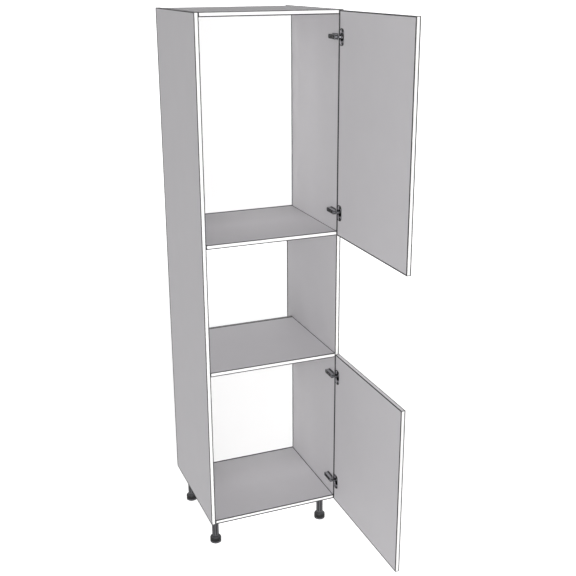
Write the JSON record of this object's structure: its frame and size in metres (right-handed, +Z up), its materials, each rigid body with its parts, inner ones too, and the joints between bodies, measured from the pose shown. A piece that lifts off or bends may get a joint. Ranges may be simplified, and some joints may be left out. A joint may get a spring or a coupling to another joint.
{
  "type": "tall oven housing unit",
  "caption": "Tall kitchen housing with an open oven niche between an upper and a lower cupboard, side-hung doors on concealed hinges and adjustable legs.",
  "frame": {"origin": "on the floor, midway between the side panels, in the plane of the carcass front", "axes": "+X to the right as seen from the front, +Y from the front to the wall, +Z up"},
  "size_m": [0.6, 1.159, 2.3],
  "materials": {
    "faced_board": "melamine-faced, matt",
    "white_board": "melamine-faced, matt",
    "white_edging": "satin",
    "grey_edging": "satin",
    "beech": "raw",
    "leg_plastic": "fine grain",
    "hinge_steel": "nickel-plated",
    "pin_steel": "bright",
    "screw_steel": "darkened"
  },
  "bodies": {
    "carcass": {"back_panel_dowels": "beech", "base_edging": "white_edging", "base_panel": "faced_board", "front_left_leg_socket": "leg_plastic", "front_left_leg_tube": "leg_plastic", "front_right_leg_socket": "leg_plastic", "front_right_leg_tube": "leg_plastic", "hinge_arm_pins": "pin_steel", "hinge_goosenecks": "hinge_steel", "hinge_setting_screws": "screw_steel", "left_side_edging": "white_edging", "left_side_panel": "faced_board", "leg_socket_screws": "screw_steel", "lower_back_panel": "white_board", "lower_door_bottom_hinge_arm": "hinge_steel", "lower_door_bottom_mounting_plate": "hinge_steel", "lower_door_top_hinge_arm": "hinge_steel", "lower_door_top_mounting_plate": "hinge_steel", "mounting_plate_screws": "screw_steel", "oven_shelf": "faced_board", "oven_shelf_edging": "white_edging", "rear_left_leg_socket": "leg_plastic", "rear_left_leg_tube": "leg_plastic", "rear_right_leg_socket": "leg_plastic", "rear_right_leg_tube": "leg_plastic", "right_side_edging": "white_edging", "right_side_panel": "faced_board", "shelf_dowels": "beech", "top_edging": "white_edging", "top_panel": "faced_board", "upper_back_panel": "white_board", "upper_door_bottom_hinge_arm": "hinge_steel", "upper_door_bottom_mounting_plate": "hinge_steel", "upper_door_top_hinge_arm": "hinge_steel", "upper_door_top_mounting_plate": "hinge_steel", "upper_shelf": "faced_board", "upper_shelf_edging": "white_edging"},
    "foot_front_left": {"front_left_foot": "leg_plastic"},
    "foot_front_right": {"front_right_foot": "leg_plastic"},
    "foot_rear_left": {"rear_left_foot": "leg_plastic"},
    "foot_rear_right": {"rear_right_foot": "leg_plastic"},
    "lower_door": {"lower_door_board": "faced_board", "lower_door_bottom_hinge_cup": "hinge_steel", "lower_door_cup_screws": "screw_steel", "lower_door_end_edging": "grey_edging", "lower_door_hinge_pins": "pin_steel", "lower_door_top_hinge_cup": "hinge_steel", "lower_door_upright_edging": "white_edging"},
    "lower_door_links": {"lower_door_outer_links": "hinge_steel"},
    "upper_door": {"upper_door_board": "faced_board", "upper_door_bottom_hinge_cup": "hinge_steel", "upper_door_cup_screws": "screw_steel", "upper_door_end_edging": "grey_edging", "upper_door_hinge_pins": "pin_steel", "upper_door_top_hinge_cup": "hinge_steel", "upper_door_upright_edging": "white_edging"},
    "upper_door_links": {"upper_door_outer_links": "hinge_steel"}
  },
  "joints": [
    {"name": "lower_door_swing", "type": "hinge", "parent": "carcass", "child": "lower_door", "pos_m": [0.29025, -0.01125, 0.5075], "axis": [0, 0, 1], "range_deg": [-90, 20]},
    {"name": "upper_door_swing", "type": "hinge", "parent": "carcass", "child": "upper_door", "pos_m": [0.29025, -0.01125, 1.84875], "axis": [0, 0, 1], "range_deg": [-90, 20]},
    {"name": "lower_door_link_swing", "type": "hinge", "parent": "carcass", "child": "lower_door_links", "pos_m": [0.2665, -0.0025, 0.5075], "axis": [0, 0, 1], "range_deg": [-4.4, 19.5]},
    {"name": "upper_door_link_swing", "type": "hinge", "parent": "carcass", "child": "upper_door_links", "pos_m": [0.2665, -0.0025, 1.84875], "axis": [0, 0, 1], "range_deg": [-4.4, 19.5]},
    {"name": "front_left_foot_height", "type": "slide", "parent": "carcass", "child": "foot_front_left", "axis": [0, 0, -1], "range_m": [-0.005, 0.025]},
    {"name": "front_right_foot_height", "type": "slide", "parent": "carcass", "child": "foot_front_right", "axis": [0, 0, -1], "range_m": [-0.005, 0.025]},
    {"name": "rear_left_foot_height", "type": "slide", "parent": "carcass", "child": "foot_rear_left", "axis": [0, 0, -1], "range_m": [-0.005, 0.025]},
    {"name": "rear_right_foot_height", "type": "slide", "parent": "carcass", "child": "foot_rear_right", "axis": [0, 0, -1], "range_m": [-0.005, 0.025]}
  ],
  "couplings": [
    {"joint": "lower_door_link_swing", "follows": "lower_door_swing", "ratio": -0.215},
    {"joint": "upper_door_link_swing", "follows": "upper_door_swing", "ratio": -0.215}
  ]
}
